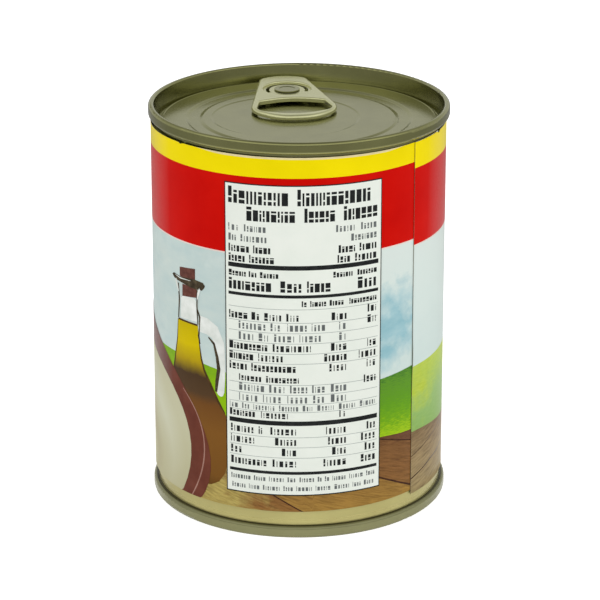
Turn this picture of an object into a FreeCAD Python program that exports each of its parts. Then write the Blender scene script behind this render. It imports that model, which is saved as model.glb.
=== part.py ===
"""Food can, 400 ml size, with an easy-open ring-pull end and a paper wrap label.

All lengths are in millimetres. The origin is the centre of the ring that the
can stands on, +Z is up and -Y is the side with the middle of the label's
printed panel. The can is shut and full, so its body is one solid out to the
outside of the tinplate.
"""
import math
import os

import FreeCAD
import Part

# Can: overall sizes
CAN_HEIGHT = 103.2          # foot of the bottom seam to the top of the rim
BODY_RADIUS = 36.65         # outside of the tinplate wall
SEAM_OVERHANG = 1.35        # how far the double seams stand out from the wall
SEAM_HEIGHT = 3.0
SEAM_ROUNDING = 0.8         # outer corners of the seam
SEAM_INNER = 0.05           # mouth of the chuck wall, inside the wall's radius
SHEET = 0.3                 # tinplate of the ends

# Ends: depths are measured from the rim plane, insets from BODY_RADIUS
PANEL_DEPTH = 4.2
COUNTERSINK_DROP = 0.9      # countersink groove below the panel
CHUCK_FOOT_INSET = 0.8
COUNTERSINK_OUTER_INSET = 1.05
COUNTERSINK_INNER_INSET = 1.5
PANEL_EDGE_INSET = 1.95
SCORE_INSET = 2.4
SCORE_WIDTH = 0.24
SCORE_DEPTH = 0.1

# Ring beads pressed into the panels: fractions of BODY_RADIUS
TOP_BEAD = (0.660, 0.780)
BOTTOM_BEADS = ((0.395, 0.445), (0.570, 0.620), (0.745, 0.795))
TOP_BEAD_DROP = 0.3
BOTTOM_BEAD_DROP = 0.55
BEAD_SLOPE = 0.9            # width of the sloping side of a bead

# Shallow round deboss under the finger end of the tab
DEBOSS_RADIUS = 18.8
DEBOSS_CENTRE = (-3.4, 0.4)
DEBOSS_DEPTH = 0.12

# Rivet: formed from the end panel, it holds the tab
RIVET_HEAD_RADIUS = 3.3
RIVET_HEAD_THICK = 0.3
RIVET_HEAD_ROUNDING = 0.12
RIVET_STEM_RADIUS = 1.7
RIVET_BUTTON_RADIUS = 4.0
RIVET_BUTTON_HEIGHT = 0.8
RIVET_BEARING_DEG = 98.5    # bearing of the rivet from +X, seen from above
FIT_GAP = 0.1               # play between the tab and the end

# Ring-pull tab: across x along, with the nose at +Y of its own frame
TAB_NOSE = 12.7             # rivet centre to the tip of the nose
TAB_TAIL = 24.7             # rivet centre to the tip of the finger end
TAB_WIDTH = 22.0
TAB_NOSE_WIDTH = 12.4
TAB_NOSE_SLOPE = 0.57
TAB_CURL_WIDTH = 2.15       # rolled edge
TAB_CURL_HEIGHT = 1.3
TAB_EDGE_ROUNDING = 0.85     # upper outer edge of the rolled metal
TAB_OPENING_ROUNDING = 0.45  # upper edges of the finger hole and the recess
TAB_FOOT_ROUNDING = 0.25
TAB_WEB = 0.45              # sunk metal round the rivet
WEB_HEIGHT = 0.3            # underside of the web above the underside of the tab
WEB_RADIUS = 6.1
TAB_TILT_DEG = 1.1          # the nose stands higher than the finger end
TAB_TURN_DEG = 7.0
CROSSBAR = 7.8              # rivet centre to the edge of the finger hole
CROSSBAR_BOW = 3.0
CROSSBAR_BEND = 13.0
HOLE_SHOULDER = 3.7         # finger hole's rear corners, before its tip
HOLE_BEND = 12.0
SLOT_RADII = (4.6, 5.5)     # slot round the rivet's island
SLOT_ENDS_DEG = (-22.0, 202.0)

# Paper label: one sheet wound round the wall, its end lapped over its start
PAPER = 0.15
LABEL_BOTTOM = 6.95
LABEL_TOP_GAP = 0.85        # bare wall between the label and the top seam
LABEL_START_DEG = -21.0     # inner end, bearing from +X
LAP_DEG = 19.0
LABEL_PLAY = 0.06           # between the wall and the sheet, and in the lap
LABEL_SLACK = 0.5           # how far the loose side stands off the wall
LABEL_STEPS = 60

SEAM_RADIUS = BODY_RADIUS + SEAM_OVERHANG
SCORE_RADIUS = BODY_RADIUS - SCORE_INSET
RIVET_RADIUS = SCORE_RADIUS - TAB_NOSE - 0.5
UP = FreeCAD.Vector(0, 0, 1)


def rounded_edges(corners, closed=False):
    """Return lines and arcs through (point, radius) corners, each rounded by its radius."""
    count = len(corners)
    spans = []
    for index, (point, radius) in enumerate(corners):
        if radius == 0:
            spans.append((point, None, point))
            continue
        before = (corners[index - 1][0] - point).normalize()
        after = (corners[(index + 1) % count][0] - point).normalize()
        half = before.getAngle(after) / 2
        reach = radius / math.tan(half)
        middle = (before + after).normalize() * (radius / math.sin(half) - radius)
        spans.append((point + before * reach, point + middle, point + after * reach))
    edges = []
    for index, (start, middle, end) in enumerate(spans):
        if middle is not None:
            edges.append(Part.Arc(start, middle, end).toShape())
        if closed or index < count - 1:
            following = spans[(index + 1) % count][0]
            if end.distanceToPoint(following) > 1e-6:
                edges.append(Part.LineSegment(end, following).toShape())
    return edges


def profile(points):
    """Turn (radius, height, rounding) triples into corners in the XZ plane."""
    return [(FreeCAD.Vector(r, 0, z), rounding) for r, z, rounding in points]


def outline(points):
    """Turn (across, along, rounding) triples into corners in the XY plane."""
    return [(FreeCAD.Vector(x, y, 0), rounding) for x, y, rounding in points]


def revolve(edges):
    """Close a profile along the Z axis and turn it into a solid."""
    ordered = Part.sortEdges(edges)[0]
    face = Part.Face(Part.Wire(ordered))
    return face.revolve(FreeCAD.Vector(0, 0, 0), UP, 360)


def axis_edge(low, high):
    """Return the part of the Z axis between two heights."""
    return Part.LineSegment(FreeCAD.Vector(0, 0, low), FreeCAD.Vector(0, 0, high)).toShape()


def bead_points(beads, drop, depth):
    """Return the corners of ring beads pressed down from a panel, from the axis outwards."""
    points = []
    for inner, outer in beads:
        start = inner * BODY_RADIUS
        end = outer * BODY_RADIUS
        points.append((start, depth, 0.8))
        points.append((start + BEAD_SLOPE, depth + drop, 0.8))
        points.append((end - BEAD_SLOPE, depth + drop, 0.8))
        points.append((end, depth, 0.8))
    return points


def inner_face(beads, drop):
    """Corners of an end's face towards the food: (radius, depth, rounding)."""
    depth = PANEL_DEPTH + SHEET
    floor = depth + COUNTERSINK_DROP
    return [
        (0, depth, 0),
        *bead_points(beads, drop, depth),
        (BODY_RADIUS - PANEL_EDGE_INSET - SHEET, depth, 0.3),
        (BODY_RADIUS - COUNTERSINK_INNER_INSET - SHEET / 2, floor, 0.3),
        (BODY_RADIUS - COUNTERSINK_OUTER_INSET + SHEET / 2, floor, 0.3),
        (BODY_RADIUS - CHUCK_FOOT_INSET + SHEET, depth, 0),
        (BODY_RADIUS, depth, 0),
    ]


def score_points(depth):
    """Corners of the tear line cut into the outside of an easy-open panel."""
    return [
        (SCORE_RADIUS - SCORE_WIDTH / 2, depth, 0),
        (SCORE_RADIUS, depth + SCORE_DEPTH, 0),
        (SCORE_RADIUS + SCORE_WIDTH / 2, depth, 0),
    ]


def outer_face(beads, drop, scored):
    """Corners of an end's outside, from its centre over the rim to the wall."""
    floor = PANEL_DEPTH + COUNTERSINK_DROP
    score = score_points(PANEL_DEPTH) if scored else []
    return [
        (0, PANEL_DEPTH, 0),
        *bead_points(beads, drop, PANEL_DEPTH),
        *score,
        (BODY_RADIUS - PANEL_EDGE_INSET, PANEL_DEPTH, 0.25),
        (BODY_RADIUS - COUNTERSINK_INNER_INSET, floor, 0.2),
        (BODY_RADIUS - COUNTERSINK_OUTER_INSET, floor, 0.2),
        (BODY_RADIUS - CHUCK_FOOT_INSET, PANEL_DEPTH - 0.3, 0.6),
        (BODY_RADIUS - SEAM_INNER, 0, 0.5),
        (SEAM_RADIUS, 0, SEAM_ROUNDING),
        (SEAM_RADIUS, SEAM_HEIGHT, SEAM_ROUNDING),
        (BODY_RADIUS, SEAM_HEIGHT, 0),
    ]


def end_heights(points, at_top):
    """Turn depths below a rim into heights in the can's frame."""
    if at_top:
        return [(r, CAN_HEIGHT - depth, rounding) for r, depth, rounding in points]
    return points


def make_end(beads, drop, scored, at_top):
    """Return one seamed-on end as a solid of revolution."""
    inside = end_heights(inner_face(beads, drop), at_top)
    outside = end_heights(outer_face(beads, drop, scored), at_top)
    edges = rounded_edges(profile(inside)) + rounded_edges(profile(outside))
    edges.append(Part.LineSegment(
        FreeCAD.Vector(inside[-1][0], 0, inside[-1][1]),
        FreeCAD.Vector(outside[-1][0], 0, outside[-1][1])).toShape())
    edges.append(axis_edge(inside[0][1], outside[0][1]))
    return revolve(edges)


def make_body():
    """Return the wall and all that it holds, up to the inner faces of both ends."""
    bottom = end_heights(inner_face(BOTTOM_BEADS, BOTTOM_BEAD_DROP), False)
    top = end_heights(inner_face((TOP_BEAD,), TOP_BEAD_DROP), True)
    edges = rounded_edges(profile(bottom)) + rounded_edges(profile(top))
    edges.append(Part.LineSegment(
        FreeCAD.Vector(BODY_RADIUS, 0, bottom[-1][1]),
        FreeCAD.Vector(BODY_RADIUS, 0, top[-1][1])).toShape())
    edges.append(axis_edge(bottom[0][1], top[0][1]))
    return revolve(edges)


def rivet_centre():
    """Return the rivet's place on the top panel."""
    bearing = math.radians(RIVET_BEARING_DEG)
    return FreeCAD.Vector(RIVET_RADIUS * math.cos(bearing), RIVET_RADIUS * math.sin(bearing),
                          CAN_HEIGHT - PANEL_DEPTH)


def make_rivet():
    """Return the button, stem and head of the rivet, rooted in the panel."""
    web_top = RIVET_BUTTON_HEIGHT + FIT_GAP + TAB_WEB
    root = FreeCAD.Vector(0, 0, -SHEET / 2)
    button = Part.makeCone(RIVET_BUTTON_RADIUS + 0.4, RIVET_BUTTON_RADIUS,
                           RIVET_BUTTON_HEIGHT + SHEET / 2, root)
    stem = Part.makeCylinder(RIVET_STEM_RADIUS, web_top + 2 * FIT_GAP + SHEET / 2, root)
    head = Part.makeCylinder(RIVET_HEAD_RADIUS, RIVET_HEAD_THICK,
                             FreeCAD.Vector(0, 0, web_top + FIT_GAP))
    head = head.makeFillet(RIVET_HEAD_ROUNDING, head.Edges)
    dimple = Part.makeCylinder(RIVET_HEAD_RADIUS * 0.62, 0.1,
                               FreeCAD.Vector(0, 0, web_top + FIT_GAP + RIVET_HEAD_THICK - 0.1))
    rivet = button.fuse(stem).fuse(head).cut(dimple)
    rivet.translate(rivet_centre())
    return rivet


def make_top_end():
    """Return the easy-open end: scored panel with bead, deboss and rivet."""
    end = make_end((TOP_BEAD,), TOP_BEAD_DROP, True, True)
    floor = CAN_HEIGHT - PANEL_DEPTH - DEBOSS_DEPTH
    deboss = Part.makeCone(DEBOSS_RADIUS - 0.5, DEBOSS_RADIUS, DEBOSS_DEPTH,
                           FreeCAD.Vector(*DEBOSS_CENTRE, floor))
    return end.cut(deboss).fuse(make_rivet()).removeSplitter()


def make_bottom_end():
    """Return the plain bottom end with its expansion rings."""
    return make_end(BOTTOM_BEADS, BOTTOM_BEAD_DROP, False, False)


def tab_outline(inset):
    """Corners of the tab's outside, drawn in by an inset."""
    wide = TAB_WIDTH / 2 + 0.5 - inset
    nose = TAB_NOSE_WIDTH / 2 - inset
    tail = TAB_TAIL - inset
    tip = TAB_NOSE - inset + 0.4
    shoulder = tip - nose * TAB_NOSE_SLOPE
    return [
        (nose, shoulder, 2.8 - inset),
        (0, tip, 9.0 - inset),
        (-nose, shoulder, 2.8 - inset),
        (-wide, -tail + 7.0, 8.0 - inset),
        (-wide * 0.45, -tail, 9.0 - inset),
        (wide * 0.45, -tail, 9.0 - inset),
        (wide, -tail + 7.0, 8.0 - inset),
    ]


def side_at(along, inset):
    """Return the half width of the inset outline at a place along the tab's straight side."""
    narrow, high, _ = tab_outline(inset)[0]
    wide, low, _ = tab_outline(inset)[-1]
    return narrow + (wide - narrow) * (high - along) / (high - low)


def crossbar_line(along):
    """Corners of a bowed line across the tab, inside its rolled edge, from -X to +X."""
    end = along - CROSSBAR_BOW
    side = side_at(end, TAB_CURL_WIDTH)
    return [(-side, end, 1.4), (0, along, CROSSBAR_BEND), (side, end, 1.4)]


def flat_shape(corners, low, high):
    """Return a rounded outline as a slab between two heights."""
    slab = Part.Face(Part.Wire(rounded_edges(outline(corners), closed=True)))
    slab = slab.extrude(UP * (high - low))
    slab.translate(UP * low)
    return slab


def finger_hole():
    """Corners of the hole that a finger goes through."""
    tip = TAB_CURL_WIDTH - TAB_TAIL
    shoulder = tip + HOLE_SHOULDER
    side = side_at(shoulder, TAB_CURL_WIDTH)
    rear = [(side, shoulder, 4.0), (0, tip - 0.7, HOLE_BEND), (-side, shoulder, 4.0)]
    return crossbar_line(-CROSSBAR) + rear


def underside_pocket():
    """Corners of the hollow underside between the nose and the crossbar."""
    return crossbar_line(TAB_CURL_WIDTH - CROSSBAR) + tab_outline(TAB_CURL_WIDTH)[:3]


def level_edges(shape, height):
    """Return the edges of a shape that lie flat at a height."""
    return [edge for edge in shape.Edges
            if edge.BoundBox.ZLength < 1e-4 and abs(edge.BoundBox.ZMin - height) < 1e-4]


def opening_edges(shape, height):
    """Return the edges round the openings in a shape's flat face at a height."""
    level = [face for face in shape.Faces
             if face.BoundBox.ZLength < 1e-4 and abs(face.BoundBox.ZMin - height) < 1e-4]
    face = max(level, key=lambda face: face.Area)
    return [edge for wire in face.Wires if not wire.isSame(face.OuterWire) for edge in wire.Edges]


def rivet_slot(low, high):
    """Return the C-shaped slot that frees the rivet's island on the nose side."""
    inner, outer = SLOT_RADII
    start, end = SLOT_ENDS_DEG
    placed = (FreeCAD.Vector(0, 0, low), UP)
    span = end - start
    slot = Part.makeCylinder(outer, high - low, *placed, span)
    slot = slot.cut(Part.makeCylinder(inner, high - low, *placed, span))
    slot.rotate(FreeCAD.Vector(0, 0, 0), UP, start)
    return slot


def make_tab():
    """Return the ring-pull: rolled edge, crossbar and round pierced web, set on the rivet."""
    top = TAB_CURL_HEIGHT
    web_top = WEB_HEIGHT + TAB_WEB
    tab = flat_shape(tab_outline(0), 0, top)
    tab = tab.makeFillet(TAB_EDGE_ROUNDING, level_edges(tab, top))
    tab = tab.cut(flat_shape(finger_hole(), 0, top))
    tab = tab.cut(Part.makeCylinder(WEB_RADIUS, top, FreeCAD.Vector(0, 0, web_top)))
    tab = tab.cut(flat_shape(underside_pocket(), 0, WEB_HEIGHT))
    tab = tab.makeFillet(TAB_OPENING_ROUNDING, opening_edges(tab, top))
    tab = tab.makeFillet(TAB_FOOT_ROUNDING, level_edges(tab, 0))
    tab = tab.cut(rivet_slot(WEB_HEIGHT, web_top))
    tab = tab.cut(Part.makeCylinder(RIVET_STEM_RADIUS + FIT_GAP, top))
    tab.translate(UP * -WEB_HEIGHT)
    tab.rotate(FreeCAD.Vector(0, 0, 0), FreeCAD.Vector(1, 0, 0), TAB_TILT_DEG)
    tab.translate(UP * (RIVET_BUTTON_HEIGHT + FIT_GAP))
    tab.rotate(FreeCAD.Vector(0, 0, 0), UP, TAB_TURN_DEG)
    tab.translate(rivet_centre())
    return tab


def label_radius(turned):
    """Return the radius of the sheet's inner face, turned so far from its inner end."""
    share = (turned - LAP_DEG) / (360 - LAP_DEG)
    share = min(max(share, 0.0), 1.0)
    rise = (PAPER + LABEL_PLAY) * share
    slack = LABEL_SLACK * math.sin(math.pi * share)
    return BODY_RADIUS + LABEL_PLAY + rise + slack


def label_point(turned, offset):
    """Return a point of the sheet; it winds from its inner end by the front to the back."""
    bearing = math.radians(LABEL_START_DEG - turned)
    radius = label_radius(turned) + offset
    return FreeCAD.Vector(radius * math.cos(bearing), radius * math.sin(bearing), LABEL_BOTTOM)


def make_label():
    """Return the wound sheet, cut short of the top seam."""
    whole = 360 + LAP_DEG
    turns = [whole * step / LABEL_STEPS for step in range(LABEL_STEPS + 1)]
    faces = []
    for offset in (0, PAPER):
        curve = Part.BSplineCurve()
        curve.interpolate([label_point(turned, offset) for turned in turns])
        faces.append(curve.toShape())
    ends = [Part.LineSegment(label_point(turned, 0), label_point(turned, PAPER)).toShape()
            for turned in (0, whole)]
    sheet = Part.Face(Part.Wire(Part.sortEdges(faces + ends)[0]))
    height = CAN_HEIGHT - SEAM_HEIGHT - LABEL_TOP_GAP - LABEL_BOTTOM
    return sheet.extrude(UP * height)


def main():
    """Build every node and write it as a STEP file."""
    nodes = {
        "can_body": make_body(),
        "top_end": make_top_end(),
        "bottom_end": make_bottom_end(),
        "pull_tab": make_tab(),
        "paper_label": make_label(),
    }
    os.makedirs("parts", exist_ok=True)
    for name, shape in nodes.items():
        shape.exportStep("parts/" + name + ".step")
        print(name, "solids", len(shape.Solids), "valid", shape.isValid(), "volume", round(shape.Volume, 1))


main()
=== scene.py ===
"""Look of the ring-pull food can: camera, light, metals, and the label's print.

The print is built as thin shapes laid on the wound paper sheet. A place on the
sheet is (turn, height): turn in degrees round the can from the middle of the
front, positive to the right, running from the hidden inner end at +69 by the
front, the left side and the back to the free edge at -310, which lies over the
sheet's other end at +50. Heights and lifts are in millimetres.
"""
import math
import random

import bmesh
import bpy
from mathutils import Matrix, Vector


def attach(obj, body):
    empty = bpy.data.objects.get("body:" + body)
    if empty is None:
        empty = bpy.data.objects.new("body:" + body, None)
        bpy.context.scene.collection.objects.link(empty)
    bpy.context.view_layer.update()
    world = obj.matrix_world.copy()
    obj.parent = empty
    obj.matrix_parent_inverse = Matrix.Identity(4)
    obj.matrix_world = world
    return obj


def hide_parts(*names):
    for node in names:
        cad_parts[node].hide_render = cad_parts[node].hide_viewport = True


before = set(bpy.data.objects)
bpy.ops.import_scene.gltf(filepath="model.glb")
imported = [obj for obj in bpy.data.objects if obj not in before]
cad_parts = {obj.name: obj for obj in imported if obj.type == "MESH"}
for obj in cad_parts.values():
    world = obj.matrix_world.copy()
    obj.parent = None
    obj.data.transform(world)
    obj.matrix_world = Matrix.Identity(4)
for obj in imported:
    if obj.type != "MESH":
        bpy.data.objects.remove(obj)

MM = 0.001

# Sizes that follow the construction
BODY_RADIUS = 36.65
SEAM_HEIGHT = 3.0
PAPER = 0.15
PAPER_PLAY = 0.06           # between the wall and the sheet, and in the lap
PAPER_SLACK = 0.5           # how far the loose side stands off the wall
INNER_END = 69.0            # turns of the sheet's two ends
FREE_EDGE = -310.0
LAP = 19.0                  # degrees of the sheet that lie on itself
SHEET_TOP = 99.35
SHEET_FOOT = 6.9

# Looseness of the paper
SKEW = 1.4 / 310            # the sheet is wound a little askew: millimetres per degree
SAG = 0.45                  # how far the top edge drops on the loose side
NICKS = ((-51.0, 0.35, 0.8), (-291.0, 0.6, 1.1))    # turn, depth and width of nicks in the top edge
WAVE_RISE = 0.03
BLISTER_RISE = 0.2
BLISTER_HEIGHT = 43.5

# Print
PRINT_PITCH = 0.008         # thickness of one layer of print
PRINT_INSET = 0.02          # the print stops this far inside the paper's edges
ARC = math.radians(1) * 37.3        # millimetres of print to one degree of turn
UV_UNIT = 100.0             # millimetres of print to one unit of its coordinates
PRINT_FOOT = 5.0            # fields that run off the paper are drawn to these heights
PRINT_HEAD = 102.0
BAND_FOOT = 74.3
BAND_TOP = 94.1
RULE_TALL = 0.35            # pale line under the red band
TABLE_LINE = 24.4
PANEL = (-28.6, 11.6, 32.6, 92.1)   # left, low, right and high
PANEL_LINES = (-27.6, 31.6)         # ends of the panel's bars and hairlines
MARGIN_ENDS = (-44.0, 46.0)         # ends of the bare margin above the yellow band
TUCKED_END = 50.6           # the print goes on to here, just under the free edge
PANEL_SIDE = -20.0          # the hills change here, behind the panel
BOWL_SIDE = -196.0          # and here, behind the bowls
LAP_SIDE = -252.0           # and here, on the right of the second bowl
LAP_WOOD_SIDE = -262.0      # the table changes here
DIP_HEIGHT = 13.7           # middle of the dip in each bowl


def eased(value, start, end):
    """Smooth step from 0 at one value to 1 at another."""
    share = min(max((value - start) / (end - start), 0.0), 1.0)
    return share * share * (3 - 2 * share)


def peak(value, centre, wide):
    """Bell curve of height 1 about a centre."""
    return math.exp(-((value - centre) / wide) ** 2)


def wound_share(turn):
    """Share of the way round, from where the sheet first lies on itself to its free edge."""
    return min(max((INNER_END - turn - LAP) / (360 - LAP), 0.0), 1.0)


def sheet_radius(turn):
    """Radius of the sheet's inner face."""
    share = wound_share(turn)
    slack = PAPER_SLACK * math.sin(math.pi * share)
    return BODY_RADIUS + PAPER_PLAY + (PAPER + PAPER_PLAY) * share + slack


def ripple(turn, height):
    """Soft waves of the loose paper, and the blister near its free edge."""
    loose = math.sin(math.pi * wound_share(turn))
    waves = math.sin(turn / 9.0) + 0.6 * math.sin(turn / 4.3)
    blister = BLISTER_RISE * peak(turn, FREE_EDGE, 4.0) * peak(height, BLISTER_HEIGHT, 4.5)
    return WAVE_RISE * loose * waves + blister


def place(turn, height, lift):
    """Point of the label in metres, lifted off the outer face of the paper."""
    radius = sheet_radius(turn) + PAPER + ripple(turn, height) + lift
    angle = math.radians(turn)
    return Vector((radius * math.sin(angle), -radius * math.cos(angle), height)) * MM


def askew(turn, height):
    """Height at which a print height ends up on the wound sheet."""
    return height + SKEW * turn


def print_height(turn, height):
    """Print height that ends up at a height on the wound sheet."""
    return height - SKEW * turn


def sheet_top(turn):
    """Upper edge of the paper: it sags on its loose side and has small nicks."""
    sag = SAG * eased(turn, -35.0, -80.0) * eased(turn, -235.0, -170.0)
    nicks = sum(depth * peak(turn, centre, wide) for centre, depth, wide in NICKS)
    return SHEET_TOP - sag - nicks


def sheet_foot(turn):
    """Lower edge of the paper."""
    return SHEET_FOOT + 0.6 * SKEW * turn


def add_piece(name, mesh, material):
    """Make a mesh into a piece of the can."""
    piece = bpy.data.objects.new(name, mesh)
    bpy.context.scene.collection.objects.link(piece)
    piece.data.materials.append(material)
    for polygon in mesh.polygons:
        polygon.use_smooth = True
    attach(piece, "root")
    return piece


def on_sheet(turn, height, lift):
    """Place of a print height on the wound sheet, kept inside the sheet's edges."""
    inside = min(askew(turn, height), sheet_top(turn) - PRINT_INSET)
    return place(turn, max(inside, sheet_foot(turn) + PRINT_INSET), lift)


def print_uv(turn, height):
    """Coordinates on the unrolled sheet."""
    return (turn * ARC / UV_UNIT, height / UV_UNIT)


def field(name, low, high, start, end, layer, material, rows=1):
    """Print a field between two lines as a grid, its columns one degree wide like the sheet's."""
    inner = range(math.floor(start) + 1, math.ceil(end))
    turns = [start, *inner, end]
    bm = bmesh.new()
    uv = bm.loops.layers.uv.new("Print")
    grid = []
    for turn in turns:
        foot, top = low(turn), high(turn)
        heights = [foot + (top - foot) * row / rows for row in range(rows + 1)]
        grid.append([(bm.verts.new(on_sheet(turn, height, PRINT_PITCH * layer)), print_uv(turn, height))
                     for height in heights])
    for near, far in zip(grid, grid[1:]):
        for row in range(rows):
            corners = (near[row], far[row], far[row + 1], near[row + 1])
            face = bm.faces.new([vert for vert, _ in corners])
            for loop, (_, spot) in zip(face.loops, corners):
                loop[uv].uv = spot
    mesh = bpy.data.meshes.new(name)
    bm.to_mesh(mesh)
    bm.free()
    return add_piece(name, mesh, material)


def printed(name, outlines, layer, material):
    """Lay flat outlines of (turn, height) on the sheet as one thin layer of print."""
    bm = bmesh.new()
    for outline in outlines:
        bm.faces.new([bm.verts.new((turn, height, 0)) for turn, height in outline])
    bmesh.ops.triangulate(bm, faces=bm.faces[:], ngon_method="EAR_CLIP")
    turns = [vert.co.x for vert in bm.verts]
    for cut in range(math.ceil(min(turns)), math.ceil(max(turns))):
        geometry = bm.verts[:] + bm.edges[:] + bm.faces[:]
        bmesh.ops.bisect_plane(bm, geom=geometry, dist=1e-4, plane_co=(cut, 0, 0), plane_no=(1, 0, 0))
    bmesh.ops.dissolve_degenerate(bm, edges=bm.edges[:], dist=1e-3)
    bm.normal_update()
    uv = bm.loops.layers.uv.new("Print")
    for face in bm.faces:
        if face.normal.z < 0:
            face.normal_flip()
        for loop in face.loops:
            loop[uv].uv = print_uv(loop.vert.co.x, loop.vert.co.y)
    for vert in bm.verts:
        vert.co = on_sheet(vert.co.x, vert.co.y, PRINT_PITCH * layer)
    mesh = bpy.data.meshes.new(name)
    bm.to_mesh(mesh)
    bm.free()
    return add_piece(name, mesh, material)


def level(height):
    """A line at one height."""
    return lambda turn: height


def rectangle(left, low, right, high):
    """Corners of an upright rectangle."""
    return [(left, low), (right, low), (right, high), (left, high)]


def stroke(first, second, tall):
    """Corners of a thin slanting line."""
    return [first, second, (second[0], second[1] + tall), (first[0], first[1] + tall)]


def ribbon(points, widths):
    """Outline of a ribbon along points, as wide in degrees as given at each."""
    left, right = [], []
    for index, (turn, height) in enumerate(points):
        before = Vector(points[max(index - 1, 0)])
        after = Vector(points[min(index + 1, len(points) - 1)])
        ahead = (after - before).normalized()
        half = widths[index] / 2
        left.append((turn - ahead.y * half, height + ahead.x * half))
        right.append((turn + ahead.y * half, height - ahead.x * half))
    return left + right[::-1]


# Shader helpers

MIX_FACTOR = 0              # sockets of the Mix node that carry a blend of colours
MIX_FIRST = 6
MIX_SECOND = 7
MIX_RESULT = 2
NOISE_LOW = 0.3             # most of a noise value lies between these
NOISE_HIGH = 0.7
UNSTRETCHED = (1.0, 1.0, 1.0)


def new_material(name, roughness, metallic=0.0, gloss=0.5):
    """A principled material, ready for a pattern."""
    made = bpy.data.materials.new(name)
    made.use_nodes = True
    shader = made.node_tree.nodes["Principled BSDF"]
    shader.inputs["Roughness"].default_value = roughness
    shader.inputs["Metallic"].default_value = metallic
    shader.inputs["Specular IOR Level"].default_value = gloss
    return made, shader


def stretched(tree, vector, stretch):
    """Coordinates stretched for streaky patterns."""
    mapping = tree.nodes.new("ShaderNodeMapping")
    mapping.inputs["Scale"].default_value = stretch
    tree.links.new(vector, mapping.inputs["Vector"])
    return mapping.outputs["Vector"]


def object_place(tree, stretch=UNSTRETCHED):
    """Object coordinates in metres."""
    source = tree.nodes.new("ShaderNodeTexCoord")
    return stretched(tree, source.outputs["Object"], stretch)


def print_place(tree, stretch=UNSTRETCHED):
    """Coordinates on the unrolled sheet."""
    source = tree.nodes.new("ShaderNodeUVMap")
    source.uv_map = "Print"
    return stretched(tree, source.outputs["UV"], stretch)


def axis(tree, vector, letter):
    """One coordinate of a vector."""
    split = tree.nodes.new("ShaderNodeSeparateXYZ")
    tree.links.new(vector, split.inputs["Vector"])
    return split.outputs[letter]


def length(tree, vector):
    """Length of a vector."""
    node = tree.nodes.new("ShaderNodeVectorMath")
    node.operation = "LENGTH"
    tree.links.new(vector, node.inputs[0])
    return node.outputs["Value"]


def maths(tree, operation, *values):
    """Result of an operation on sockets and plain numbers."""
    node = tree.nodes.new("ShaderNodeMath")
    node.operation = operation
    for socket, value in zip(node.inputs, values):
        if isinstance(value, float):
            socket.default_value = value
        else:
            tree.links.new(value, socket)
    return node.outputs[0]


def mapped(tree, value, start, end, low=0.0, high=1.0):
    """Carry a value from one range to another, and no further than its ends."""
    node = tree.nodes.new("ShaderNodeMapRange")
    node.inputs["From Min"].default_value = start
    node.inputs["From Max"].default_value = end
    node.inputs["To Min"].default_value = low
    node.inputs["To Max"].default_value = high
    tree.links.new(value, node.inputs["Value"])
    return node.outputs["Result"]


def spread(tree, value, low, high):
    """Stretch a noise value from its usual range to another."""
    return mapped(tree, value, NOISE_LOW, NOISE_HIGH, low, high)


def height_share(tree, low, high):
    """Share of the way from one print height to another."""
    return mapped(tree, axis(tree, print_place(tree), "Y"), low / UV_UNIT, high / UV_UNIT)


def noise(tree, vector, scale, detail=4.0, roughness=0.55):
    """Noise value at a place."""
    node = tree.nodes.new("ShaderNodeTexNoise")
    node.inputs["Scale"].default_value = scale
    node.inputs["Detail"].default_value = detail
    node.inputs["Roughness"].default_value = roughness
    tree.links.new(vector, node.inputs["Vector"])
    return node.outputs["Fac"]


def srgb(red, green, blue):
    """Linear colour from 0-255 screen values."""
    def linear(value):
        value /= 255
        return value / 12.92 if value <= 0.04045 else ((value + 0.055) / 1.055) ** 2.4
    return (linear(red), linear(green), linear(blue))


def screen(stops):
    """Stops of linear colours from stops of 0-255 screen values."""
    return [(position, srgb(*colour)) for position, colour in stops]


def greys(stops):
    """Stops of grey colours from stops of plain values."""
    return [(position, (value, value, value)) for position, value in stops]


def flat(tree, colour):
    """One colour all over."""
    node = tree.nodes.new("ShaderNodeRGB")
    node.outputs[0].default_value = (*colour, 1.0)
    return node.outputs[0]


def ramp(tree, value, stops):
    """Colours for a value, as (position, colour) stops."""
    node = tree.nodes.new("ShaderNodeValToRGB")
    elements = node.color_ramp.elements
    while len(elements) < len(stops):
        elements.new(0.5)
    for element, (position, colour) in zip(elements, stops):
        element.position = position
        element.color = (*colour, 1.0)
    tree.links.new(value, node.inputs["Fac"])
    return node.outputs["Color"]


def mix(tree, factor, first, second):
    """Blend two colours by a factor."""
    node = tree.nodes.new("ShaderNodeMix")
    node.data_type = "RGBA"
    tree.links.new(factor, node.inputs[MIX_FACTOR])
    tree.links.new(first, node.inputs[MIX_FIRST])
    tree.links.new(second, node.inputs[MIX_SECOND])
    return node.outputs[MIX_RESULT]


def spots(tree, places, reach, ragged):
    """Soft ragged spots at (turn, height, size) places on the print, 1 at their middles."""
    wobble = spread(tree, noise(tree, print_place(tree), 22.0, 6.0, 0.6), -ragged, ragged)
    nearest = None
    for turn, height, size in places:
        away = tree.nodes.new("ShaderNodeVectorMath")
        away.operation = "DISTANCE"
        tree.links.new(print_place(tree), away.inputs[0])
        away.inputs[1].default_value = (*print_uv(turn, height), 0.0)
        scaled = maths(tree, "MULTIPLY_ADD", away.outputs["Value"], UV_UNIT / size, wobble)
        nearest = maths(tree, "MINIMUM", nearest, scaled) if nearest else scaled
    return ramp(tree, nearest, greys([(1.0 - reach, 1.0), (1.0, 0.0)]))


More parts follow.
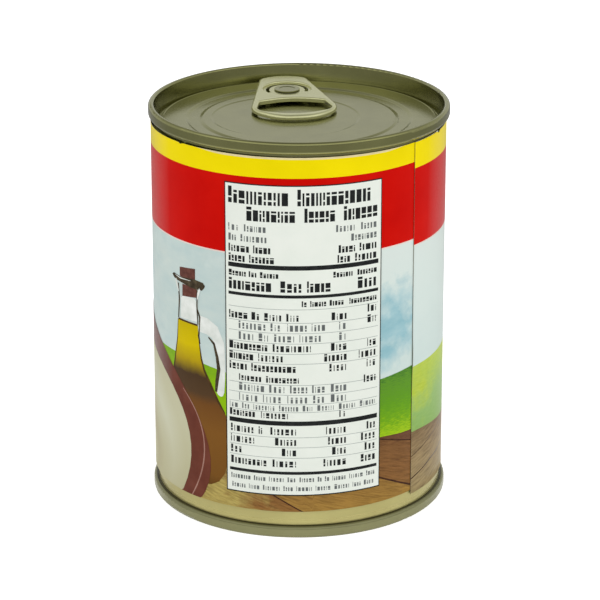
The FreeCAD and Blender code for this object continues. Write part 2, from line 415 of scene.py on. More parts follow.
def bump(tree, shader, value, strength, distance):
    """Raise a shader's surface by a value."""
    node = tree.nodes.new("ShaderNodeBump")
    node.inputs["Strength"].default_value = strength
    node.inputs["Distance"].default_value = distance
    tree.links.new(value, node.inputs["Height"])
    tree.links.new(node.outputs["Normal"], shader.inputs["Normal"])


def colour_of(shader):
    """The socket that a shader's colour comes from."""
    return shader.inputs["Base Color"].links[0].from_socket


# Metals

SCRATCH_DEPTH = 0.00003
WALL_LIGHT = (0.465, 0.42, 0.163)
WALL_DARK = (0.405, 0.36, 0.135)
# colour of the painted shade: a thin dark line in the crease where the bottom seam meets the wall
CREASE_SHADE = (0.03, 0.027, 0.010)


def mottled(tree):
    """Broad cloudiness of the lacquer, the same pattern on every metal piece."""
    return noise(tree, object_place(tree), 90.0, 5.0)


def metal(name, light, dark, roughness, scratch, metallic=1.0):
    """Lacquered tinplate: mottled lacquer, rolling streaks, fine scratches and pale specks."""
    made, shader = new_material(name, roughness, metallic=metallic)
    tree = made.node_tree
    mottle = mottled(tree)
    colour = ramp(tree, mottle, [(NOISE_LOW, dark), (NOISE_HIGH, light)])
    specks = noise(tree, object_place(tree, (1.0, 2.2, 1.6)), 520.0, 4.0, 0.6)
    mask = ramp(tree, specks, greys([(0.70, 0.0), (0.78, 0.35)]))
    paler = tuple(min(1.0, 1.25 * value) for value in light)
    pale = ramp(tree, mottle, [(NOISE_LOW, light), (NOISE_HIGH, paler)])
    tree.links.new(mix(tree, mask, colour, pale), shader.inputs["Base Color"])
    streaks = noise(tree, object_place(tree, (1.0, 14.0, 14.0)), 260.0, 3.0)
    tree.links.new(spread(tree, streaks, roughness - 0.02, roughness + 0.03), shader.inputs["Roughness"])
    fine = noise(tree, object_place(tree, (1.0, 6.0, 3.0)), 900.0, 6.0, 0.7)
    bump(tree, shader, fine, scratch, SCRATCH_DEPTH)
    return made


def wall_toned(made, crease):
    """Give the wall above an end's seam the wall's own colour, past a dark line of painted shade in the
    crease.
    """
    tree = made.node_tree
    shader = tree.nodes["Principled BSDF"]
    plain = colour_of(shader)
    rise = mapped(tree, axis(tree, object_place(tree), "Z"), (crease - 0.1) * MM, (crease + 0.4) * MM)
    above = ramp(tree, rise, greys([(0.20, 0.0), (0.24, 1.0)]))
    # painted shade: a thin dark line just above the seam, in the crease against the wall
    line = ramp(tree, rise, greys([(0.14, 0.0), (0.19, 0.85), (0.36, 0.85), (0.46, 0.0)]))
    out = length(tree, object_place(tree, (1.0, 1.0, 0.0)))
    outside = mapped(tree, out, (BODY_RADIUS - 0.35) * MM, (BODY_RADIUS - 0.25) * MM)
    wall = ramp(tree, mottled(tree), [(NOISE_LOW, WALL_DARK), (NOISE_HIGH, WALL_LIGHT)])
    toned = mix(tree, line, mix(tree, above, plain, wall), flat(tree, CREASE_SHADE))
    tree.links.new(mix(tree, outside, plain, toned), shader.inputs["Base Color"])
    return made


END_METAL = metal("EndMetal", (0.32, 0.32, 0.135), (0.275, 0.275, 0.115), roughness=0.18, scratch=0.04)
BASE_METAL = wall_toned(metal("BaseMetal", (0.235, 0.232, 0.11), (0.21, 0.207, 0.095), roughness=0.24,
                              scratch=0.004, metallic=0.6), SEAM_HEIGHT)
BODY_METAL = metal("BodyMetal", WALL_LIGHT, WALL_DARK, roughness=0.30, scratch=0.05, metallic=0.55)
TAB_METAL = metal("TabMetal", (0.64, 0.64, 0.355), (0.60, 0.60, 0.325), roughness=0.24,
                  scratch=0.004, metallic=0.85)


# Coated print: colours are given as 0-255 screen values, and patches as their places
# (turn, height, size), their softness, how ragged they are, and their colours

PRINT_GLOSS = 0.05
FIBRE_SCALE = 1500.0
FIBRE_STRENGTH = 0.05
FIBRE_DEPTH = 0.00002
GRAIN_BROWN = (58, 34, 20)


def edge_sheen(tree, shader):
    """Let coated paper gleam only where it is seen at a grazing angle."""
    facing = tree.nodes.new("ShaderNodeLayerWeight")
    facing.inputs["Blend"].default_value = 0.5
    gleam = ramp(tree, facing.outputs["Facing"], greys([(0.55, PRINT_GLOSS), (0.88, 1.0)]))
    tree.links.new(gleam, shader.inputs["Specular IOR Level"])


def coated(name, stops, scale):
    """Coated print in colours mottled between stops."""
    roughness = 0.32
    made, shader = new_material(name, roughness, gloss=PRINT_GLOSS)
    tree = made.node_tree
    tree.links.new(ramp(tree, noise(tree, print_place(tree), scale), screen(stops)),
                   shader.inputs["Base Color"])
    fibre = noise(tree, object_place(tree), FIBRE_SCALE, 3.0)
    bump(tree, shader, fibre, FIBRE_STRENGTH, FIBRE_DEPTH)
    edge_sheen(tree, shader)
    tree.links.new(spread(tree, fibre, roughness - 0.04, roughness + 0.06), shader.inputs["Roughness"])
    return made


def graded(name, low, high, stops, scale, strength, stretch=UNSTRETCHED, patches=()):
    """Coated print whose colour runs with height, broken up by noise, with patches of other colours."""
    made, shader = new_material(name, 0.3, gloss=PRINT_GLOSS)
    tree = made.node_tree
    cloud = noise(tree, print_place(tree, stretch), scale, 6.0, 0.6)
    broken = maths(tree, "MULTIPLY_ADD", cloud, strength, height_share(tree, low, high))
    colour = ramp(tree, maths(tree, "SUBTRACT", broken, strength / 2), screen(stops))
    for places, reach, ragged, tones in patches:
        tint = ramp(tree, cloud, screen(tones))
        colour = mix(tree, spots(tree, places, reach, ragged), colour, tint)
    tree.links.new(colour, shader.inputs["Base Color"])
    bump(tree, shader, noise(tree, object_place(tree), FIBRE_SCALE, 3.0), FIBRE_STRENGTH, FIBRE_DEPTH)
    return made


def grained(made, tilt, scale):
    """Darken a print's colour along fine lines of wood grain that run at a tilt in degrees."""
    tree = made.node_tree
    shader = tree.nodes["Principled BSDF"]
    tilted = tree.nodes.new("ShaderNodeMapping")
    tilted.inputs["Rotation"].default_value = (0.0, 0.0, math.radians(tilt))
    tree.links.new(print_place(tree), tilted.inputs["Vector"])
    lines = noise(tree, stretched(tree, tilted.outputs["Vector"], (1.0, 9.0, 1.0)), scale, 7.0, 0.7)
    deep = ramp(tree, lines, greys([(0.42, 0.0), (0.66, 0.5)]))
    darkened = mix(tree, deep, colour_of(shader), flat(tree, srgb(*GRAIN_BROWN)))
    tree.links.new(darkened, shader.inputs["Base Color"])
    return made


def dip(name, centre, share):
    """Smooth dip with soft swirled ridges round the middle of its bowl."""
    made, shader = new_material(name, 0.42, gloss=0.1)
    tree = made.node_tree
    middle = tree.nodes.new("ShaderNodeMapping")
    middle.vector_type = "TEXTURE"
    middle.inputs["Location"].default_value = (*print_uv(centre, DIP_HEIGHT), 0.0)
    middle.inputs["Scale"].default_value = (0.4 * share, 0.276, 1.0)
    tree.links.new(print_place(tree), middle.inputs["Vector"])
    wobble = spread(tree, noise(tree, print_place(tree), 3.0, 1.0), -0.05, 0.05)
    uneven = maths(tree, "ADD", length(tree, middle.outputs["Vector"]), wobble)
    pale = (198, 196, 164)
    shade = (178, 170, 136)
    light = (208, 208, 182)
    ridges = ramp(tree, uneven, screen([
        (0.0, light), (0.14, shade), (0.27, pale), (0.36, light), (0.44, pale), (0.54, shade),
        (0.66, pale), (0.82, light), (1.0, pale)]))
    fall = ramp(tree, height_share(tree, 4, 26), greys([(0.0, 0.75), (1.0, 0.0)]))
    shaded = mix(tree, fall, ridges, flat(tree, srgb(176, 170, 128)))
    tree.links.new(shaded, shader.inputs["Base Color"])
    bump(tree, shader, noise(tree, object_place(tree), 900.0, 3.0), FIBRE_STRENGTH, FIBRE_DEPTH)
    return made


# Paper and bands
MARGIN = coated("PaperMargin", [(0.3, (222, 206, 150)), (0.7, (236, 224, 176))], 40.0)
# the paper's brownish core, made darker as painted shade so that the cut edges read as a thin shadow line
CORE_AND_SHADE = coated("PaperCoreAndShade", [(0.3, (104, 90, 66)), (0.7, (134, 118, 90))], 60.0)
RED = coated("BandRed", [(0.25, (196, 4, 0)), (0.75, (214, 18, 6))], 6.0)
YELLOW = coated("BandYellow", [(0.25, (238, 216, 0)), (0.75, (250, 228, 4))], 6.0)
RULE = coated("BandRule", [(0.3, (226, 206, 196)), (0.7, (238, 224, 214))], 20.0)

# Sky
OPEN_SKY = ([(-48.0, 60.0, 42.0)], 0.7, 0.2, [(0.3, (190, 210, 208)), (0.7, (206, 219, 213))])
BLUE_GAPS = ([(40.0, 54.0, 13.0), (36.0, 47.0, 6.0), (-98.0, 60.0, 12.0), (-128.0, 66.0, 9.0),
              (-150.0, 54.0, 10.0), (-172.0, 64.0, 8.0), (-205.0, 58.0, 12.0), (-232.0, 66.0, 9.0),
              (-248.0, 52.0, 7.0)],
             0.75, 0.30, [(0.35, (142, 188, 198)), (0.65, (168, 204, 210))])
PAPER_SKY = graded("PaperSky", 40, 78,
                   [(0.0, (208, 224, 219)), (0.5, (217, 230, 224)), (1.0, (220, 230, 224))],
                   9.0, 0.5, (1.0, 2.2, 1.0), [OPEN_SKY, BLUE_GAPS])

# Hills
SUNLIT = ([(-304.0, 36.0, 9.0), (-270.0, 38.0, 8.0), (-200.0, 38.0, 9.0)], 0.9, 0.4,
          [(0.3, (176, 196, 62)), (0.7, (192, 208, 82))])
GRASS = graded("Grass", 24, 43,
               [(0.0, (160, 198, 30)), (0.22, (116, 170, 28)), (0.45, (98, 156, 34)),
                (0.75, (96, 148, 46)), (1.0, (60, 112, 46))],
               60.0, 1.0, (1.0, 6.0, 1.0))
MEADOW = graded("Meadow", 24, 45,
                [(0.0, (140, 178, 96)), (0.4, (152, 188, 112)), (0.7, (178, 204, 92)),
                 (1.0, (196, 212, 88))],
                45.0, 0.6, (1.0, 4.0, 1.0), [SUNLIT])
LIME = graded("LimeHill", 24, 46,
              [(0.0, (150, 200, 10)), (0.6, (140, 186, 22)), (1.0, (120, 168, 34))],
              30.0, 0.6, (1.0, 3.0, 1.0))

# Table
SAND = ([(-44.0, 8.0, 22.0), (-120.0, 9.0, 12.0), (-236.0, 9.0, 12.0)], 0.5, 0.3,
        [(0.3, (176, 154, 84)), (0.7, (196, 178, 104))])
WOOD = grained(graded("Wood", 6, 25,
                      [(0.0, (150, 108, 58)), (0.4, (140, 98, 56)), (0.8, (134, 94, 56)),
                       (1.0, (112, 76, 48))],
                      60.0, 0.9, (0.35, 4.0, 1.0), [SAND]), 18.0, 16.0)
LAP_WOOD = grained(graded("LapWood", 6, 25,
                          [(0.0, (160, 142, 100)), (0.5, (164, 142, 102)), (1.0, (136, 112, 80))],
                          40.0, 0.9, (0.35, 4.0, 1.0)), -12.0, 18.0)
BACK_WOOD = grained(graded("BackBoard", 18, 25, [(0.0, (124, 88, 60)), (1.0, (108, 72, 52))],
                           70.0, 0.8, (0.4, 5.0, 1.0)), 10.0, 20.0)
NEAR_WOOD = grained(graded("NearBoard", 6, 16, [(0.0, (168, 130, 64)), (1.0, (150, 112, 58))],
                           60.0, 0.9, (0.35, 4.0, 1.0)), 20.0, 16.0)
DARK_WOOD = coated("WoodJoint", [(0.3, (50, 30, 22)), (0.7, (80, 50, 34))], 60.0)

# Panel
PANEL_WHITE = coated("PanelWhite", [(0.25, (232, 238, 228)), (0.75, (239, 243, 234))], 12.0)
INK = coated("Ink", [(0.3, (28, 30, 30)), (0.7, (44, 46, 46))], 60.0)
SOFT_INK = coated("SoftInk", [(0.3, (92, 97, 96)), (0.7, (116, 121, 120))], 60.0)
HAIRLINE = coated("Hairline", [(0.3, (150, 158, 154)), (0.7, (168, 176, 172))], 60.0)

# Bottle
CORK = coated("Cork", [(0.3, (86, 52, 46)), (0.7, (116, 74, 64))], 90.0)
GLASS_DARK = coated("GlassEdge", [(0.3, (54, 46, 34)), (0.55, (76, 66, 50)), (0.7, (94, 84, 64))], 70.0)
GLASS_PALE = coated("GlassPale", [(0.3, (216, 222, 214)), (0.7, (240, 243, 238))], 30.0)
GLASS_TINT = coated("GlassTint", [(0.3, (186, 200, 196)), (0.7, (206, 218, 214))], 30.0)
OIL = graded("BottleOil", 10, 54,
             [(0.0, (84, 54, 22)), (0.10, (120, 80, 32)), (0.36, (128, 86, 36)), (0.52, (114, 74, 34)),
              (0.58, (84, 62, 40)), (0.68, (76, 56, 36)), (0.76, (178, 152, 20)), (0.86, (214, 190, 0)),
              (1.0, (196, 174, 0))],
             30.0, 0.05)
OIL_EDGE = coated("OilEdge", [(0.3, (66, 48, 26)), (0.7, (92, 66, 34))], 40.0)

# Bowls
RIM = coated("BowlRim", [(0.3, (98, 50, 38)), (0.7, (116, 64, 50))], 18.0)
RIM_LIGHT = coated("BowlRimLight", [(0.3, (148, 104, 90)), (0.7, (176, 136, 122))], 18.0)


# Label

def make_sheet():
    """The wound paper sheet itself, its cut edges in the paper core's colour, darkened as painted shade."""
    sheet = field("label_sheet", lambda turn: print_height(turn, sheet_foot(turn)),
                  lambda turn: print_height(turn, sheet_top(turn)),
                  FREE_EDGE, INNER_END, 0, PAPER_SKY, rows=64)
    sheet.data.materials.append(CORE_AND_SHADE)
    thick = sheet.modifiers.new("Thickness", "SOLIDIFY")
    thick.thickness = PAPER * MM
    thick.offset = -1
    # the cut edges take the darkened core colour: the paper's own core plus painted shade under the lap's
    # free edge
    thick.material_offset_rim = 1
    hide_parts("paper_label")


def hill_line(turn):
    """Top of the hills in front and round the back."""
    waves = 0.6 * math.sin(math.radians(4 * (turn - 41)))
    swell = 0.8 * math.sin(math.radians(1.2 * (turn - 41)))
    return 40.4 + waves + swell


def meadow_line(turn):
    """Top of the meadow that runs up to the free edge."""
    return 42.3 + 0.2 * math.sin(math.radians(3 * (turn + 290)))


def near_hill_line(turn):
    """Top of the nearer hill behind the bottle."""
    slope = 0.045 * (-40 - turn) * eased(turn, -150.0, -110.0)
    return 43.2 + slope + 0.5 * math.sin(math.radians(turn * 6.0))


def table_line(turn):
    """Far edge of the table, lower towards the free edge and beside it."""
    far_side = eased(turn, -308.0, -278.0) * eased(turn, -180.0, -230.0)
    return TABLE_LINE - 0.8 * eased(turn, 32.0, 50.0) - 1.3 * far_side


def yellow_top(turn):
    """Upper edge of the yellow band, which leaves a bare margin in front."""
    left, right = MARGIN_ENDS
    bare = 0.55 * eased(turn, left, -30.0) * eased(turn, right, 34.0)
    return print_height(turn, sheet_top(turn)) - bare


def print_fields():
    """Broad fields of the artwork: bands, hills and table."""
    start, end = FREE_EDGE, TUCKED_END
    field("print_table", level(PRINT_FOOT), table_line, start, end, 1, WOOD, 8)
    field("print_lap_table", level(PRINT_FOOT), table_line, start, LAP_WOOD_SIDE, 2, LAP_WOOD, 8)
    field("print_grass", table_line, hill_line, PANEL_SIDE, end, 1, GRASS)
    field("print_lime", table_line, near_hill_line, BOWL_SIDE, PANEL_SIDE, 2, LIME)
    field("print_grass_back", table_line, hill_line, LAP_SIDE, BOWL_SIDE, 1, GRASS)
    field("print_meadow", table_line, meadow_line, start, LAP_SIDE, 1, MEADOW, 14)
    field("print_rule", level(BAND_FOOT - RULE_TALL), level(BAND_FOOT), start, end, 2, RULE)
    field("print_red", level(BAND_FOOT), level(BAND_TOP), start, end, 2, RED)
    field("print_yellow", level(BAND_TOP), yellow_top, start, end, 1, YELLOW)
    field("print_margin", yellow_top, level(PRINT_HEAD), *MARGIN_ENDS, 1, MARGIN)


def table_boards():
    """The table's far and near boards and the dark joints that run between them."""
    far = []
    near = []
    joints = [stroke((FREE_EDGE, 17.6), (-280.0, 22.6), 0.2),
              stroke((FREE_EDGE, 11.4), (-295.0, 13.8), 0.35),
              stroke((-295.0, 13.8), (-279.0, 14.9), 0.3)]
    low = 4.9
    for turned in (0.0, -100.0, -190.0):
        limit = TUCKED_END if turned == 0 else 60.0
        left_end = turned - 43.5
        right_end = turned + limit
        left_joint = ((left_end, table_line(left_end) - 0.4), (turned + 6.0, low))
        right_joint = ((turned - 3.0, 24.0), (right_end, TABLE_LINE - 0.305 * (limit + 3.0)))
        far_joint = ((turned + 30.0, 24.3), (turned + TUCKED_END, 20.5))
        near.append([*left_joint, (right_end, low), right_joint[1], right_joint[0]])
        far.append([*far_joint, (right_end, table_line(right_end))])
        joints += [stroke(*left_joint, 0.4), stroke(*right_joint, 0.5), stroke(*far_joint, 0.35)]
    printed("print_far_boards", far, 2, BACK_WOOD)
    printed("print_near_boards", near, 2, NEAR_WOOD)
    printed("print_joints", joints, 3, DARK_WOOD)


def bottle_glass():
    """Pale glass of the bottle's neck and handle."""
    neck = [(-53.9, 63.7), (-42.0, 63.0), (-41.6, 60.4), (-42.2, 57.4), (-42.0, 53.2), (-53.9, 53.2),
            (-53.2, 58.0)]
    handle = ribbon([(-41.8, 54.0), (-37.6, 53.8), (-33.9, 52.6), (-31.8, 49.4), (-31.2, 45.0),
                     (-31.4, 40.6), (-31.7, 37.4), (-31.9, 36.5), (-32.0, 36.1)],
                    [4.4, 4.3, 4.2, 4.4, 3.8, 3.8, 3.6, 2.8, 1.2])
    clear = [(-51.6, 59.2), (-50.6, 59.9), (-43.9, 60.2), (-43.1, 59.4), (-42.7, 54.2), (-52.3, 53.9)]
    printed("print_neck", [neck], 4, GLASS_TINT)
    printed("print_handle", [handle], 4, GLASS_PALE)
    printed("print_clear", [clear], 5, GLASS_PALE)


def bottle_oil():
    """The oil, with its surface and its darker edges."""
    body = [(-53.9, 53.3), (-42.2, 53.3), (-42.1, 50.3), (-40.9, 44.9), (-39.5, 42.0), (-36.7, 38.9),
            (-33.1, 34.7), (-29.2, 31.1), (-28.4, 29.1), (-28.2, 24.0), (-28.6, 18.7), (-29.9, 15.4),
            (-32.6, 12.9), (-36.3, 11.6), (-44.0, 11.0), (-52.0, 12.0), (-58.0, 16.0), (-60.6, 24.0),
            (-60.2, 32.0), (-58.0, 38.4), (-56.9, 41.5), (-55.4, 46.0), (-54.3, 50.0)]
    right_edge = ribbon([(-42.0, 50.3), (-40.7, 44.9), (-39.3, 42.0), (-36.5, 38.9), (-32.9, 34.7),
                         (-29.6, 31.6)],
                        [0.2, 0.7, 0.8, 0.9, 0.9, 0.3])
    left_edge = ribbon([(-54.0, 53.2), (-54.6, 48.0), (-56.6, 42.0), (-58.2, 38.0)], [0.3, 0.5, 0.7, 0.9])
    surface = stroke((-53.7, 53.1), (-42.4, 53.1), 0.5)
    printed("print_bottle", [body], 4, OIL)
    printed("print_oil_edge", [right_edge, left_edge, surface], 5, OIL_EDGE)


def bottle_lines():
    """Dark lines of the glass: the sides of the neck, the handle's stripe and the joint between them."""
    sides = [ribbon([(-53.4, 62.8), (-52.9, 58.6), (-53.6, 53.6)], [0.7, 0.9, 0.7]),
             ribbon([(-42.4, 62.6), (-42.6, 58.4), (-42.2, 53.6)], [0.5, 0.7, 0.5])]
    stripe = ribbon([(-37.0, 51.0), (-34.4, 49.6), (-33.0, 46.2), (-32.3, 43.2), (-33.2, 39.6),
                     (-33.6, 37.0)],
                    [0.4, 0.9, 1.3, 1.6, 1.5, 1.0])
    joint = ribbon([(-42.4, 57.6), (-41.2, 55.6), (-41.4, 53.0), (-41.9, 50.6), (-41.2, 48.6)],
                   [0.4, 0.8, 0.5, 0.9, 0.4])
    printed("print_neck_lines", [*sides, stripe, joint], 6, GLASS_DARK)


def bottle_mouth():
    """The cork, the lip round it and the glints on the lip."""
    cork = [(-52.4, 64.8), (-43.5, 64.8), (-43.4, 68.0), (-52.4, 67.2)]
    cork_foot = [(-50.9, 59.8), (-42.9, 60.5), (-42.5, 63.0), (-50.8, 63.0)]
    lip = [(-57.6, 64.5), (-56.4, 65.0), (-52.6, 64.7), (-47.0, 65.0), (-43.5, 65.2), (-39.4, 64.9),
           (-38.4, 64.2), (-38.9, 63.5), (-40.0, 62.8), (-43.4, 62.7), (-46.2, 62.8), (-50.6, 63.2),
           (-53.9, 63.4), (-56.2, 63.7)]
    sparkle = [ribbon([(-55.2, 63.6), (-54.2, 62.0), (-53.2, 60.6)], [0.9, 1.1, 0.3]),
               ribbon([(-41.0, 63.0), (-41.9, 61.6), (-42.3, 60.2)], [0.9, 1.0, 0.3]),
               ribbon([(-55.6, 64.7), (-52.0, 64.3), (-46.0, 64.5)], [0.1, 0.3, 0.1])]
    printed("print_cork", [cork, cork_foot], 7, CORK)
    printed("print_lip", [lip], 8, GLASS_DARK)
    printed("print_sparkle", sparkle, 9, GLASS_PALE)


def oval(centre, low, wide, tall, start, end, steps=48):
    """Points of part of an oval about a centre, angles from the right going up."""
    points = []
    for index in range(steps + 1):
        angle = math.radians(start + (end - start) * index / steps)
        points.append((centre + wide * math.cos(angle), low + tall * math.sin(angle)))
    return points


def leaning(points, centre, lean):
    """Points moved up by a lean in millimetres for each degree to the right of a centre."""
    return [(turn, height + lean * (turn - centre)) for turn, height in points]


def bowl_shape(centre, low, wide, tall, lean):
    """Outline of a leaning oval, cut off below the label's lower edge."""
    points = leaning(oval(centre, low, wide, tall, -70, 250), centre, lean)
    return [point for point in points if point[1] > 4.0]


def make_bowl(name, centre, share):
    """A generic bowl of smooth dip, filling one side of the label, at a share of full size."""
    printed(name + "_rim", [bowl_shape(centre, 24.8, 71.6 * share, 28.7, -0.11)], 10, RIM)
    steps = 24
    edge = leaning(oval(centre, 9.9, 68.5 * share, 29.0, -42, 34, steps), centre, 0.16)
    widths = [0.2 + 0.4 * math.sin(math.pi * index / steps) for index in range(steps + 1)]
    printed(name + "_edge", [ribbon(edge, widths)], 11, RIM_LIGHT)
    printed(name + "_dip", [bowl_shape(centre, DIP_HEIGHT, 61.4 * share, 27.6, 0.09)], 12,
            dip(name + "_cream", centre, share))


def letter_blocks(rng, left, right, low, tall, weight):
    """Plain upright blocks of several widths, some broken across, standing for one word of small print."""
    block_wide = min(0.5 * tall, 1.25)
    count = max(2, round((right - left) * ARC / block_wide))
    parts = [rng.choice((0.7, 1.0, 1.0, 1.4)) for _ in range(count)]
    pitch = (right - left) / sum(parts)
    blocks = []
    start = left
    for index, part in enumerate(parts):
        end = start + pitch * (part - 1 + weight)
        rise = tall if index == 0 else 0.78 * tall
        if rng.random() < 0.45:
            gap = low + rise * rng.choice((0.3, 0.7))
            blocks.append(rectangle(start, low, end, gap))
            blocks.append(rectangle(start, gap + 0.09 * tall, end, low + rise))
        else:
            blocks.append(rectangle(start, low, end, low + rise))
        start += pitch * part
    return blocks


def panel_rows():
    """Rows of the printed panel: (low, tall, weight, dark, words as (left, right))."""
    return [
        (87.2, 4.2, 0.68, True, [(-27.4, -3.4), (-0.6, 28.4)]),
        (83.0, 3.6, 0.70, True, [(-20.0, -1.0), (2.0, 14.0), (17.0, 31.4)]),
        (80.2, 1.8, 0.50, False, [(-27.4, -22.6), (-21.0, -12.0), (14.0, 22.0), (24.0, 31.2)]),
        (77.6, 1.8, 0.50, False, [(-27.4, -23.8), (-22.4, -11.6), (20.0, 31.2)]),
        (74.8, 2.0, 0.68, True, [(-27.4, -18.6), (-17.4, -10.4), (15.0, 22.0), (23.4, 31.2)]),
        (72.3, 2.0, 0.68, True, [(-27.4, -20.4), (-19.0, -9.0), (14.6, 20.0), (21.6, 31.2)]),
        (68.6, 1.5, 0.70, True, [(-27.4, -20.0), (-19.2, -15.8), (-14.8, -7.4), (13.0, 21.0), (22.6, 31.2)]),
        (65.1, 2.9, 0.70, True, [(-27.4, -10.0), (-7.0, 1.6), (3.0, 12.4), (22.8, 31.4)]),
        (61.4, 1.5, 0.70, True, [(1.0, 3.2), (4.2, 10.6), (11.6, 17.4), (19.4, 31.2)]),
        (57.6, 2.0, 0.68, True, [(-27.4, -19.4), (-18.2, -14.6)]),
        (57.6, 2.0, 0.50, True, [(-13.2, -6.0), (-4.8, 0.6), (12.4, 19.0)]),
        (58.6, 2.0, 0.50, True, [(27.0, 31.4)]),
        (55.0, 2.0, 0.46, False, [(-23.4, -12.0), (-10.8, -6.4), (-4.4, 3.6), (4.8, 10.6), (15.4, 19.0)]),
        (55.8, 2.0, 0.50, True, [(27.0, 31.4)]),
        (52.2, 2.0, 0.46, False, [(-23.4, -16.6), (-15.4, -11.0), (-9.4, -1.0), (0.2, 9.0), (15.4, 19.0)]),
        (49.6, 2.0, 0.68, True, [(-27.4, -11.6)]),
        (49.6, 2.0, 0.50, True, [(-10.0, 5.2), (12.2, 19.0), (27.0, 31.4)]),
        (46.9, 2.0, 0.68, True, [(-27.4, -17.2)]),
        (46.9, 2.0, 0.50, True, [(-15.6, -5.4), (9.6, 19.0), (23.4, 31.4)]),
        (44.2, 2.0, 0.68, True, [(-27.4, -19.6), (-18.4, -0.8)]),
        (44.2, 2.0, 0.50, True, [(11.6, 19.0), (26.8, 31.4)]),
        (41.4, 1.7, 0.62, True, [(-23.4, -14.0), (-12.6, 0.4)]),
        (38.8, 2.0, 0.46, False, [(-23.4, -12.6), (-11.4, -4.6), (-3.4, 3.8), (5.0, 10.4), (12.2, 19.0)]),
        (40.2, 2.0, 0.50, True, [(25.6, 31.4)]),
        (36.1, 2.0, 0.46, False, [(-23.4, -15.0), (-13.8, -6.0), (-4.4, 4.0), (5.4, 10.4), (12.2, 19.0)]),
        (34.0, 1.5, 0.46, False, [(-27.4, -23.4), (-22.2, -18.8), (-17.6, -8.8), (-7.6, 0.2), (1.4, 5.6),
                                  (7.0, 14.0), (15.4, 22.6), (24.0, 31.2)]),
        (31.9, 1.8, 0.68, True, [(-27.4, -16.6)]),
        (31.9, 1.8, 0.50, True, [(-14.6, -3.6), (15.6, 19.0)]),
        (27.6, 2.0, 0.50, True, [(-27.0, -17.0), (-15.6, -13.8), (-11.0, -0.4), (10.4, 19.0), (27.0, 31.4)]),
        (24.8, 2.0, 0.50, True, [(-27.0, -16.6), (-9.2, -0.4), (11.2, 19.0), (24.6, 31.4)]),
        (22.0, 2.0, 0.50, True, [(-27.0, -21.8), (-6.6, -0.4), (12.8, 19.0), (26.2, 31.4)]),
        (19.0, 2.0, 0.50, True, [(-27.0, -12.0), (-10.2, -0.4), (9.4, 19.0), (24.6, 31.4)]),
        (15.0, 1.3, 0.52, False, [(-27.0, -18.6), (-17.6, -12.6), (-11.6, -5.4), (-4.4, -1.0), (0.2, 6.2),
                                  (7.2, 9.0), (10.0, 12.0), (13.0, 18.6), (19.8, 26.0), (27.0, 31.0)]),
        (12.6, 1.3, 0.52, False, [(-26.6, -20.6), (-19.6, -15.0), (-14.0, -7.0), (-6.0, -2.0), (-1.0, 5.4),
                                  (6.4, 12.6), (13.8, 20.2), (21.2, 25.0), (26.0, 30.6)]),
    ]


def make_panel():
    """The white panel with its frame, bars, hairlines and blocks for the small print."""
    left, low, right, high = PANEL
    start, end = PANEL_LINES
    side = 0.42
    edge = 0.3
    printed("print_frame", [rectangle(left - side, low - edge, right + side, high + edge)], 13, INK)
    printed("print_panel", [rectangle(left, low, right, high)], 14, PANEL_WHITE)
    bars = [rectangle(start, base, end, base + tall)
            for base, tall in ((70.8, 1.15), (63.6, 0.8), (30.1, 1.2), (17.0, 0.8))]
    printed("print_bars", bars, 15, INK)
    hairs = [rectangle(start, base, end, base + 0.12)
             for base in (60.6, 57.1, 54.4, 51.7, 49.0, 46.4, 40.8, 38.2, 35.7, 33.6, 26.9, 24.2, 21.4)]
    printed("print_hairlines", hairs, 15, HAIRLINE)
    rng = random.Random(7)
    dark = []
    soft = []
    for base, tall, weight, strong, words in panel_rows():
        for word_start, word_end in words:
            blocks = dark if strong else soft
            blocks.extend(letter_blocks(rng, word_start, word_end, base, tall, weight))
    printed("print_bold", dark, 16, INK)
    printed("print_light", soft, 16, SOFT_INK)


# Scene

def paint_metal():
    """Give the metal parts their finish."""
    finishes = {"can_body": BODY_METAL, "top_end": END_METAL, "bottom_end": BASE_METAL,
                "pull_tab": TAB_METAL}
    for name, finish in finishes.items():
        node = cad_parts[name]
        node.data.materials.clear()
        node.data.materials.append(finish)


def make_floor():
    """Pale floor, white to the camera but for the can's shadow, with a mirror image that fades outwards."""
    bm = bmesh.new()
    size = 3.0
    bm.faces.new([bm.verts.new(corner) for corner in
                  ((-size, -size, 0), (size, -size, 0), (size, size, 0), (-size, size, 0))])
    mesh = bpy.data.meshes.new("floor")
    bm.to_mesh(mesh)
    bm.free()
    floor = bpy.data.objects.new("floor", mesh)
    bpy.context.scene.collection.objects.link(floor)
    made, shader = new_material("Floor", 0.9, gloss=0.0)
    tree = made.node_tree
    path = tree.nodes.new("ShaderNodeLightPath")
    # the floor glows: strongly to the camera, and faintly to all other rays, so it also lights the can from
    # below and brightens its mirror image in the metal
    glow = maths(tree, "MULTIPLY_ADD", path.outputs["Is Camera Ray"], 0.35, 0.35)
    tree.links.new(glow, shader.inputs["Emission Strength"])
    fade = ramp(tree, length(tree, object_place(tree)), greys([(0.05, 0.95), (0.12, 0.60), (0.28, 0.30)]))
    lighting = flat(tree, (0.45, 0.45, 0.45))
    pale = flat(tree, (0.9, 0.9, 0.9))
    unseen = mix(tree, path.outputs["Is Glossy Ray"], lighting, fade)
    seen = mix(tree, path.outputs["Is Camera Ray"], unseen, pale)
    tree.links.new(seen, shader.inputs["Base Color"])
    tree.links.new(seen, shader.inputs["Emission Color"])
    floor.data.materials.append(made)


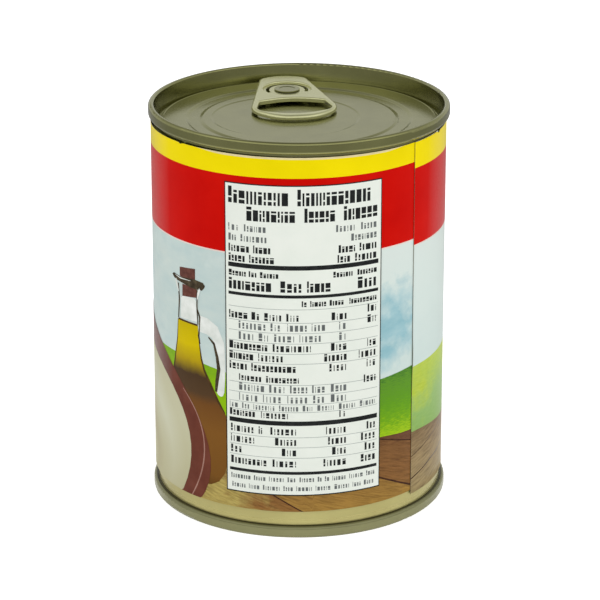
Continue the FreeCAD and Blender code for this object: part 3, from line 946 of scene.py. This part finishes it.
def make_world():
    """Soft studio surroundings: white to the camera, brightest half way up on the camera's side."""
    world = bpy.data.worlds.new("Studio")
    bpy.context.scene.world = world
    world.use_nodes = True
    tree = world.node_tree
    tree.nodes.clear()
    output = tree.nodes.new("ShaderNodeOutputWorld")
    outward = tree.nodes.new("ShaderNodeTexCoord").outputs["Generated"]
    rise = axis(tree, outward, "Z")
    front = ramp(tree, rise, greys([(0.0, 0.30), (0.25, 0.50), (0.36, 0.60), (0.55, 1.15), (0.8, 1.00),
                                    (1.0, 0.24)]))
    back = ramp(tree, rise, greys([(0.0, 0.72), (0.34, 0.68), (0.5, 0.60), (0.75, 0.34), (1.0, 0.22)]))
    depth = mapped(tree, axis(tree, outward, "Y"), -0.2, 0.6)
    soft = tree.nodes.new("ShaderNodeBackground")
    tree.links.new(mix(tree, depth, front, back), soft.inputs["Color"])
    white = tree.nodes.new("ShaderNodeBackground")
    white.inputs["Color"].default_value = (1, 1, 1, 1)
    path = tree.nodes.new("ShaderNodeLightPath")
    choose = tree.nodes.new("ShaderNodeMixShader")
    tree.links.new(path.outputs["Is Camera Ray"], choose.inputs["Fac"])
    tree.links.new(soft.outputs["Background"], choose.inputs[1])
    tree.links.new(white.outputs["Background"], choose.inputs[2])
    tree.links.new(choose.outputs["Shader"], output.inputs["Surface"])


def softbox(name, location, target, width, height, power):
    """A rectangular area light facing a target, not itself mirrored in the metal."""
    data = bpy.data.lights.new(name, "AREA")
    data.shape = "RECTANGLE"
    data.size = width
    data.size_y = height
    data.energy = power
    light = bpy.data.objects.new(name, data)
    bpy.context.scene.collection.objects.link(light)
    light.location = location
    light.visible_glossy = False
    direction = Vector(target) - Vector(location)
    light.rotation_euler = direction.to_track_quat("-Z", "Y").to_euler()


def make_lights():
    """Broad keys from both sides."""
    centre = (0, 0, 0.05)
    softbox("KeyLeft", (-0.78, -0.49, 0.45), centre, 0.5, 0.8, 3.4)
    softbox("KeyRight", (0.78, -0.49, 0.45), centre, 0.5, 0.8, 4.0)


def make_camera():
    """Long lens from the front, a little above the rim."""
    away = 747.3
    aim = 50.06
    tilt = math.radians(19.5)
    data = bpy.data.cameras.new("Camera")
    data.lens = 174.1
    data.sensor_width = 36.0
    data.shift_x = 0.0016
    camera = bpy.data.objects.new("Camera", data)
    bpy.context.scene.collection.objects.link(camera)
    camera.location = Vector((0, -away * math.cos(tilt), aim + away * math.sin(tilt))) * MM
    camera.rotation_euler = (math.radians(90) - tilt, 0, 0)
    bpy.context.scene.camera = camera


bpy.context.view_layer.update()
make_sheet()
print_fields()
table_boards()
bottle_glass()
bottle_oil()
bottle_lines()
bottle_mouth()
make_bowl("print_bowl_left", -108.0, 1.0)
make_bowl("print_bowl_right", -226.0, 0.6)
make_panel()
paint_metal()
make_floor()
make_world()
make_lights()
make_camera()
bpy.context.scene.view_settings.view_transform = "Standard"
